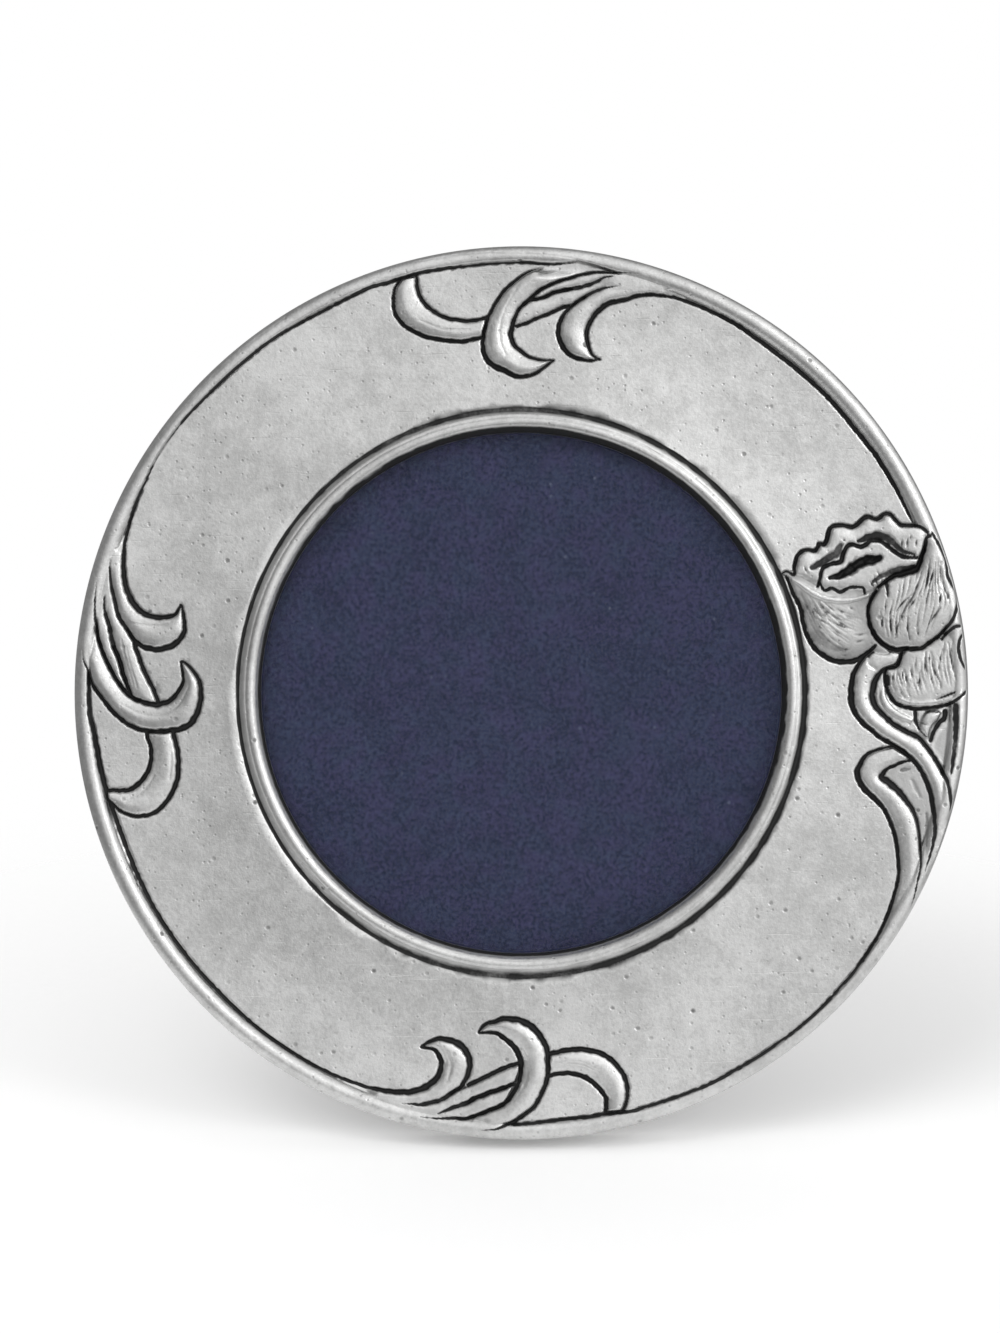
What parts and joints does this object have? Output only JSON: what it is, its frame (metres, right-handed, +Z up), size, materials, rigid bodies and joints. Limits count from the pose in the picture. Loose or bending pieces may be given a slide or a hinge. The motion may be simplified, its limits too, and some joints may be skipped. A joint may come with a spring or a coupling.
{
  "type": "round photo frame",
  "caption": "Round cast metal photo frame with a raised plant ornament, glazed window and fold-out easel leg for a table top.",
  "frame": {"origin": "on the table, under the middle of the frame's overall box", "axes": "+Z up, the picture faces -Y and leans back by 15 degrees, +X is the viewer's right"},
  "size_m": [0.109, 0.0438, 0.1067],
  "materials": {
    "pewter": "bright antiqued pewter: polished high points, darkened hollows",
    "glass": "clear flat glass",
    "navy_card": "matte navy card",
    "filler": "grey-brown pulp board",
    "board": "dark hardboard",
    "cover": "short black-blue flock",
    "steel": "nickel-plated steel"
  },
  "bodies": {
    "frame": {"front_frame": "pewter", "glazing_disc": "glass", "display_card": "navy_card", "filler_disc": "filler", "backing_board": "board", "back_cover": "cover", "hinge_back_leaf": "steel", "hinge_pin": "steel", "hinge_back_rivets": "steel", "turn_button_screws": "steel"},
    "leg": {"easel_leg": "board", "leg_cover": "cover", "hinge_leg_leaf": "steel", "hinge_leg_rivets": "steel"},
    "button_top": {"turn_button_top": "steel"},
    "button_left": {"turn_button_left": "steel"},
    "button_right": {"turn_button_right": "steel"}
  },
  "joints": [
    {"name": "leg_hinge", "type": "hinge", "parent": "frame", "child": "leg", "pos_m": [0, 0.0059, 0.07134], "axis": [1, 0, 0], "range_deg": [-27, 0]},
    {"name": "button_top_turn", "type": "hinge", "parent": "frame", "child": "button_top", "pos_m": [0, 0.01284, 0.10287], "axis": [0, -0.9659, 0.2588], "continuous": true},
    {"name": "button_left_turn", "type": "hinge", "parent": "frame", "child": "button_left", "pos_m": [-0.04525, -0.00744, 0.02716], "axis": [0, -0.9659, 0.2588], "continuous": true},
    {"name": "button_right_turn", "type": "hinge", "parent": "frame", "child": "button_right", "pos_m": [0.04525, -0.00744, 0.02716], "axis": [0, -0.9659, 0.2588], "continuous": true}
  ]
}
